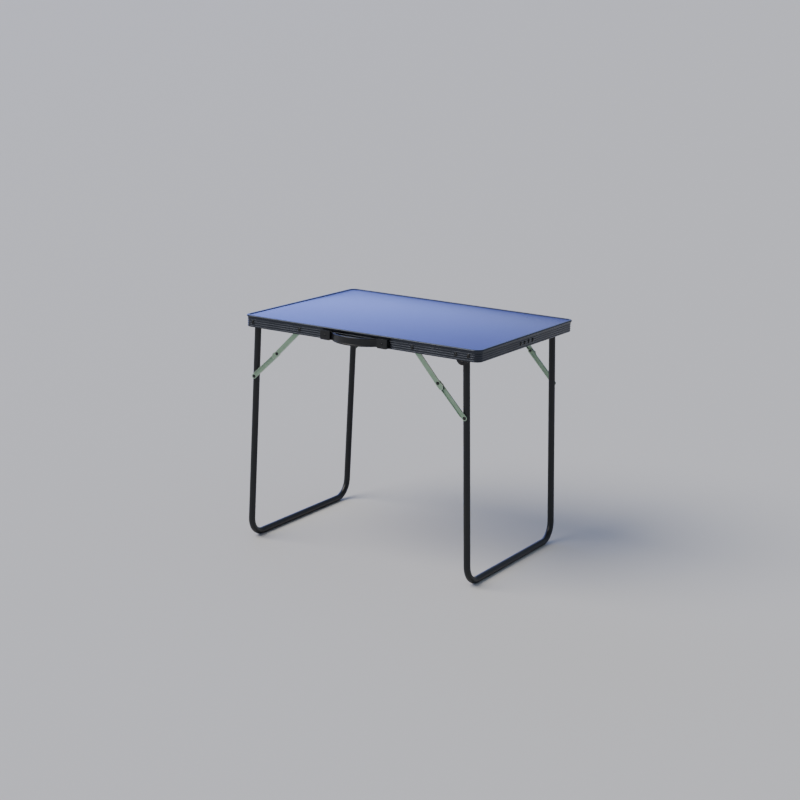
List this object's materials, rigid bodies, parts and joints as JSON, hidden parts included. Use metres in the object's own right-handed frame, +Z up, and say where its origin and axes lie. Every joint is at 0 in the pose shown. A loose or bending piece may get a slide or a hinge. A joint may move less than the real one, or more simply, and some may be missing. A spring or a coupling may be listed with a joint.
{
  "type": "folding picnic table",
  "caption": "Folding picnic table with a laminated top in a ribbed metal rail, fold-flat tube leg frames, locking two-link stays and a bowed carrying handle.",
  "frame": {"origin": "On the floor under the middle of the table's outline, with the handle and without the rivet heads: the middle of the top is at x 0, y 0.0205.", "axes": "X along the table's length, Y across it with the handle on the -Y side, Z up."},
  "size_m": [0.8, 0.641, 0.7],
  "materials": {
    "rail_paint": "satin dark grey coating on aluminium",
    "laminate": "satin slate-blue laminate",
    "fibreboard": "bare pressed fibreboard",
    "zinc_steel": "zinc plated",
    "leg_paint": "satin black powder coat",
    "black_steel": "black coated steel",
    "black_plastic": "moulded black plastic",
    "grip_vinyl": "soft black moulded strap"
  },
  "bodies": {
    "table_top": {"rail_frame": "rail_paint", "core_board": "fibreboard", "top_laminate": "laminate", "splice_plate": "zinc_steel", "splice_rivets": "black_steel", "hinge_ears": "black_steel", "ear_rivets": "black_steel", "hinge_pins": "black_steel", "hinge_bushes": "black_plastic", "stay_rivets": "black_steel", "stay_bushes": "black_plastic", "handle_grip": "grip_vinyl", "handle_caps": "black_plastic", "handle_rivets": "black_steel"},
    "left_legs": {"left_leg_frame": "leg_paint", "left_leg_plugs": "black_plastic"},
    "right_legs": {"right_leg_frame": "leg_paint", "right_leg_plugs": "black_plastic"},
    "upper_front_left": {"upper_link_front_left": "zinc_steel", "mid_rivet_front_left": "black_steel"},
    "lower_front_left": {"lower_link_front_left": "zinc_steel", "foot_rivet_front_left": "black_steel"},
    "upper_back_left": {"upper_link_back_left": "zinc_steel", "mid_rivet_back_left": "black_steel"},
    "lower_back_left": {"lower_link_back_left": "zinc_steel", "foot_rivet_back_left": "black_steel"},
    "upper_front_right": {"upper_link_front_right": "zinc_steel", "mid_rivet_front_right": "black_steel"},
    "lower_front_right": {"lower_link_front_right": "zinc_steel", "foot_rivet_front_right": "black_steel"},
    "upper_back_right": {"upper_link_back_right": "zinc_steel", "mid_rivet_back_right": "black_steel"},
    "lower_back_right": {"lower_link_back_right": "zinc_steel", "foot_rivet_back_right": "black_steel"}
  },
  "joints": [
    {"name": "left_leg_fold", "type": "hinge", "parent": "table_top", "child": "left_legs", "pos_m": [-0.368, 0.0205, 0.6795], "axis": [0, -1, 0], "range_deg": [0, 91.11]},
    {"name": "right_leg_fold", "type": "hinge", "parent": "table_top", "child": "right_legs", "pos_m": [0.342, 0.0205, 0.658], "axis": [0, 1, 0], "range_deg": [0, 93]},
    {"name": "upper_stay_front_left", "type": "hinge", "parent": "table_top", "child": "upper_front_left", "pos_m": [-0.201, -0.2655, 0.6795], "axis": [0, 1, 0], "range_deg": [0, 45.41]},
    {"name": "lower_stay_front_left", "type": "hinge", "parent": "upper_front_left", "child": "lower_front_left", "pos_m": [-0.28472, -0.2655, 0.59459], "axis": [0, -1, 0], "range_deg": [0, 181.93]},
    {"name": "upper_stay_back_left", "type": "hinge", "parent": "table_top", "child": "upper_back_left", "pos_m": [-0.201, 0.3065, 0.6795], "axis": [0, 1, 0], "range_deg": [0, 45.41]},
    {"name": "lower_stay_back_left", "type": "hinge", "parent": "upper_back_left", "child": "lower_back_left", "pos_m": [-0.28472, 0.3065, 0.59459], "axis": [0, -1, 0], "range_deg": [0, 181.93]},
    {"name": "upper_stay_front_right", "type": "hinge", "parent": "table_top", "child": "upper_front_right", "pos_m": [0.182, -0.2655, 0.6795], "axis": [0, -1, 0], "range_deg": [0, 43.06]},
    {"name": "lower_stay_front_right", "type": "hinge", "parent": "upper_front_right", "child": "lower_front_right", "pos_m": [0.26473, -0.2655, 0.5875], "axis": [0, 1, 0], "range_deg": [0, 171.89]},
    {"name": "upper_stay_back_right", "type": "hinge", "parent": "table_top", "child": "upper_back_right", "pos_m": [0.182, 0.3065, 0.6795], "axis": [0, -1, 0], "range_deg": [0, 43.06]},
    {"name": "lower_stay_back_right", "type": "hinge", "parent": "upper_back_right", "child": "lower_back_right", "pos_m": [0.26473, 0.3065, 0.5875], "axis": [0, 1, 0], "range_deg": [0, 171.89]}
  ],
  "couplings": [
    {"joint": "upper_stay_front_left", "follows": "left_leg_fold", "ratio": 0.49834},
    {"joint": "lower_stay_front_left", "follows": "left_leg_fold", "ratio": 1.9967},
    {"joint": "upper_stay_back_left", "follows": "left_leg_fold", "ratio": 0.49834},
    {"joint": "lower_stay_back_left", "follows": "left_leg_fold", "ratio": 1.9967},
    {"joint": "upper_stay_front_right", "follows": "right_leg_fold", "ratio": 0.46293},
    {"joint": "lower_stay_front_right", "follows": "right_leg_fold", "ratio": 1.8481},
    {"joint": "upper_stay_back_right", "follows": "right_leg_fold", "ratio": 0.46293},
    {"joint": "lower_stay_back_right", "follows": "right_leg_fold", "ratio": 1.8481}
  ]
}
